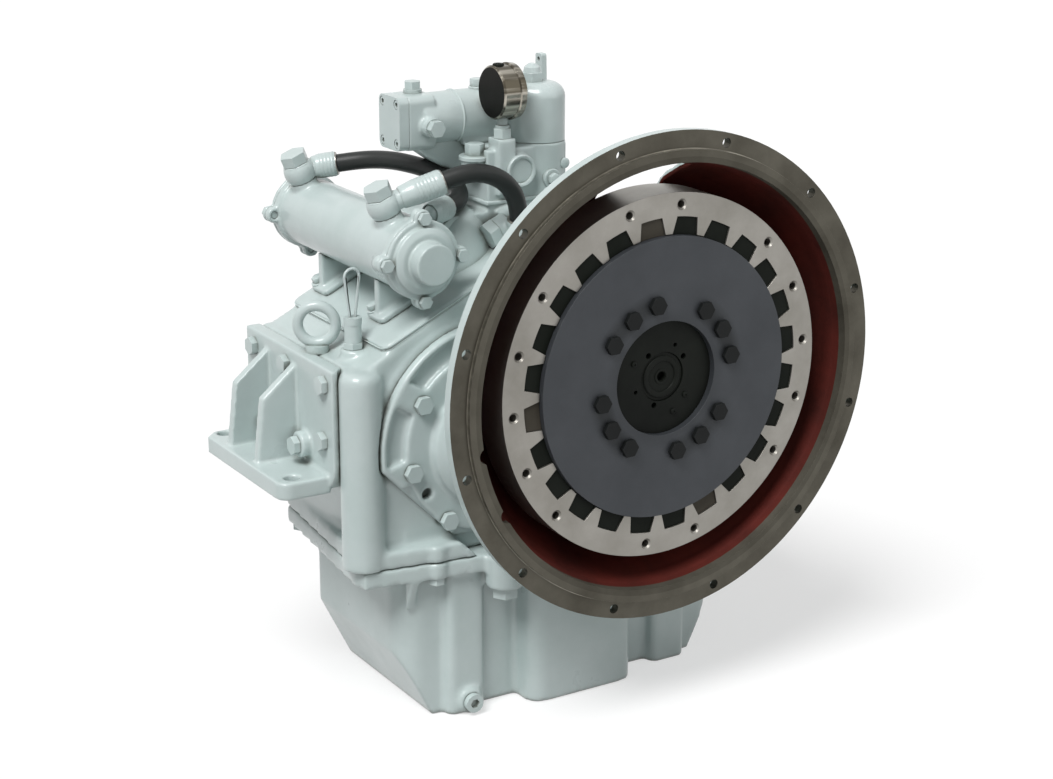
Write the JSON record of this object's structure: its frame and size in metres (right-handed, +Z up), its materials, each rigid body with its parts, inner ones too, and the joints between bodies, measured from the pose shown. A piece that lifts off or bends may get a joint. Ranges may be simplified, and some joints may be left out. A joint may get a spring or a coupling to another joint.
{
  "type": "marine gearbox",
  "caption": "Marine reversing gearbox with a bell housing and flexible coupling, side mounting feet, oil cooler, control valve, filter, gauge and offset output flange.",
  "frame": {"origin": "centre of the bell housing's mounting face, on the input shaft's axis", "axes": "-Y towards the engine along the input shaft, +Y towards the propeller, +Z up, +X to the right seen from the engine"},
  "size_m": [0.692, 0.493, 0.727],
  "materials": {
    "enamel": "glossy pale mint-grey enamel",
    "steel": "machined steel",
    "dark_steel": "blackened steel",
    "friction": "sintered friction plates",
    "brass": "plain brass",
    "seal_rubber": "moulded rubber",
    "block_rubber": "moulded rubber",
    "hose_rubber": "smooth black hose",
    "ring_aluminium": "machined aluminium",
    "disc_iron": "dull slate-grey",
    "gauge_steel": "polished stainless steel",
    "dial": "matt dark dial",
    "needle": "painted pointer",
    "lens": "clear glass"
  },
  "bodies": {
    "housing": {"bell_housing": "enamel", "gear_case": "enamel", "oil_sump": "enamel", "left_mounting_foot": "enamel", "right_mounting_foot": "enamel", "foot_bolts": "enamel", "bell_bolts": "enamel", "sump_bolts": "enamel", "output_bearing_cover": "enamel", "input_bearing_cover": "enamel", "transmission_rear_cover": "enamel", "cover_bolts": "enamel", "oil_pump_body": "enamel", "cooler_shell": "enamel", "cooler_front_cap": "enamel", "cooler_rear_cap": "enamel", "cooler_bolts": "enamel", "cooler_brackets": "enamel", "banjo_bolts": "enamel", "hose_fittings": "enamel", "oil_manifold": "enamel", "control_valve_body": "enamel", "valve_end_cover": "enamel", "pipe_plugs": "enamel", "oil_filter_bowl": "enamel", "filter_dome_nut": "enamel", "gauge_adapter": "enamel", "lifting_eyes": "enamel", "dipstick_tube": "enamel", "breather": "enamel", "valve_cover_screws": "steel", "shaft_bearings": "steel", "suction_strainer": "brass", "cooler_tube_bundle": "brass", "oil_seals": "seal_rubber", "rear_oil_hose": "hose_rubber", "front_oil_hose": "hose_rubber", "gauge_case": "gauge_steel", "gauge_dial": "dial", "gauge_lens": "lens"},
    "input": {"drive_ring": "ring_aluminium", "rubber_blocks": "block_rubber", "coupling_disc": "disc_iron", "coupling_bolts": "dark_steel", "coupling_hub": "dark_steel", "input_shaft": "steel", "input_drum_gear": "steel", "forward_clutch_pack": "friction"},
    "transmission": {"transmission_shaft": "steel", "transmission_drum_gear": "steel", "reverse_clutch_pack": "friction"},
    "output": {"output_shaft": "steel", "output_gear": "steel", "output_flange": "steel", "output_nut": "steel"},
    "forward_idler": {"forward_pinion": "steel"},
    "reverse_idler": {"reverse_pinion": "steel"},
    "lever": {"control_lever": "enamel"},
    "needle": {"gauge_needle": "needle"},
    "dipstick_body": {"dipstick": "enamel"}
  },
  "joints": [
    {"name": "input_spin", "type": "hinge", "parent": "housing", "child": "input", "pos_m": [0, 0, 0], "axis": [0, 1, 0], "continuous": true},
    {"name": "transmission_spin", "type": "hinge", "parent": "housing", "child": "transmission", "pos_m": [-0.15826, 0, -0.07469], "axis": [0, 1, 0], "continuous": true},
    {"name": "output_spin", "type": "hinge", "parent": "housing", "child": "output", "pos_m": [0, 0, -0.205], "axis": [0, 1, 0], "continuous": true},
    {"name": "forward_pinion_spin", "type": "hinge", "parent": "housing", "child": "forward_idler", "pos_m": [0, 0, 0], "axis": [0, 1, 0], "continuous": true},
    {"name": "reverse_pinion_spin", "type": "hinge", "parent": "housing", "child": "reverse_idler", "pos_m": [-0.15826, 0, -0.07469], "axis": [0, 1, 0], "continuous": true},
    {"name": "lever_swing", "type": "hinge", "parent": "housing", "child": "lever", "pos_m": [0.0035, 0.274, 0.261], "axis": [1, 0, 0], "range_deg": [-30, 30]},
    {"name": "needle_turn", "type": "hinge", "parent": "housing", "child": "needle", "pos_m": [-0.082, 0.205, 0.295], "axis": [-1, 0, 0], "range_deg": [0, 270]},
    {"name": "dipstick_pull", "type": "slide", "parent": "housing", "child": "dipstick_body", "axis": [0, 0, 1], "range_m": [0, 0.19]}
  ],
  "couplings": [
    {"joint": "transmission_spin", "follows": "input_spin", "ratio": -1},
    {"joint": "forward_pinion_spin", "follows": "output_spin", "ratio": -2.28},
    {"joint": "reverse_pinion_spin", "follows": "output_spin", "ratio": -2.28}
  ]
}
